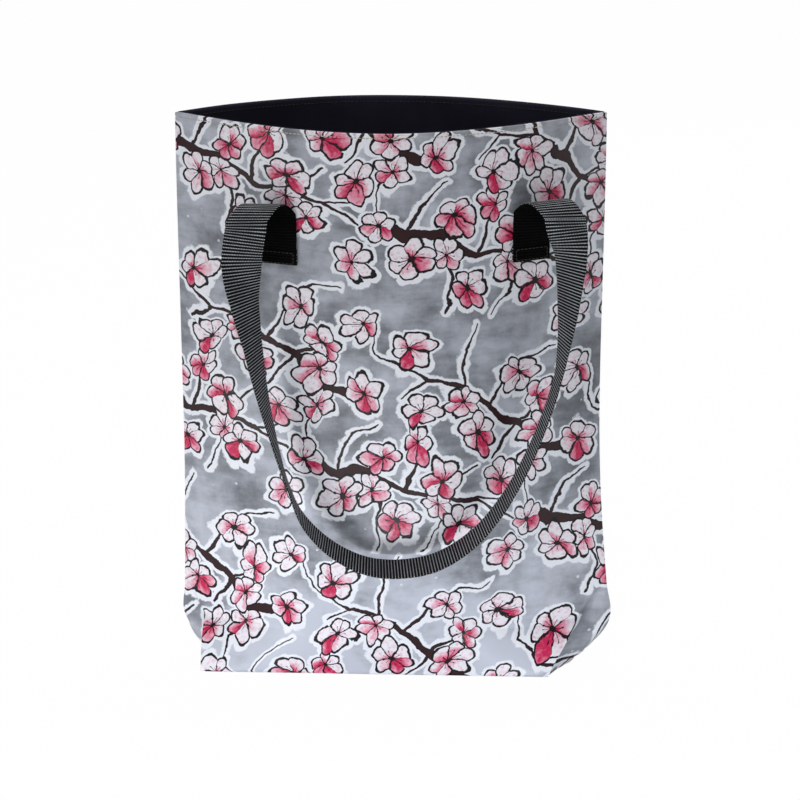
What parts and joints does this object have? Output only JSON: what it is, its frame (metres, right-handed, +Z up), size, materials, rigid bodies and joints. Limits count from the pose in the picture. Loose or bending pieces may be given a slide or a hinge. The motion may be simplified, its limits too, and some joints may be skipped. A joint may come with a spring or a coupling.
{
  "type": "shopper bag",
  "caption": "Standing shopper bag of coated printed fabric with a boxed base, a dark lining, a topstitched rim and webbing handles folded down in hanging loops.",
  "frame": {"origin": "the middle of the bag's bounding box, on the floor it stands on", "axes": "+Z up through the mouth, -Y out of the front face, +X along the mouth to the right as the front is looked at"},
  "size_m": [0.3276, 0.1802, 0.43],
  "materials": {
    "print_fabric": "glossy coated cotton with a printed flower pattern",
    "lining_fabric": "matt plain weave",
    "webbing": "ribbed webbing, slight sheen",
    "pale_thread": "matt thread",
    "dark_thread": "matt thread",
    "backing": "matt bonded backing"
  },
  "bodies": {
    "bag": {"outer_front_panel": "print_fabric", "lining_front_panel": "lining_fabric", "front_rim_topstitch": "pale_thread", "front_lining_topstitch": "dark_thread", "outer_back_panel": "print_fabric", "lining_back_panel": "lining_fabric", "back_rim_topstitch": "pale_thread", "back_lining_topstitch": "dark_thread", "left_seam_thread": "pale_thread", "right_seam_thread": "pale_thread", "bottom_seam_thread": "pale_thread", "front_left_strap_end": "webbing", "front_left_fold": "webbing", "front_left_box_stitch": "dark_thread", "front_left_backing_patch": "backing", "front_right_strap_end": "webbing", "front_right_fold": "webbing", "front_right_box_stitch": "dark_thread", "front_right_backing_patch": "backing", "back_left_strap_end": "webbing", "back_left_fold": "webbing", "back_left_box_stitch": "dark_thread", "back_left_backing_patch": "backing", "back_right_strap_end": "webbing", "back_right_fold": "webbing", "back_right_box_stitch": "dark_thread", "back_right_backing_patch": "backing"},
    "front_loop": {"front_handle": "webbing"},
    "back_loop": {"back_handle": "webbing"}
  },
  "joints": [
    {"name": "front_handle_swing", "type": "hinge", "parent": "bag", "child": "front_loop", "pos_m": [0.00645, -0.05239, 0.36415], "axis": [-0.9991, -0.0431, 0], "range_deg": [0, 178], "deforming": ["front_left_fold", "front_right_fold"]},
    {"name": "back_handle_swing", "type": "hinge", "parent": "bag", "child": "back_loop", "pos_m": [-0.01481, 0.05239, 0.36415], "axis": [0.9991, 0.0431, 0], "range_deg": [0, 178], "deforming": ["back_left_fold", "back_right_fold"]}
  ]
}
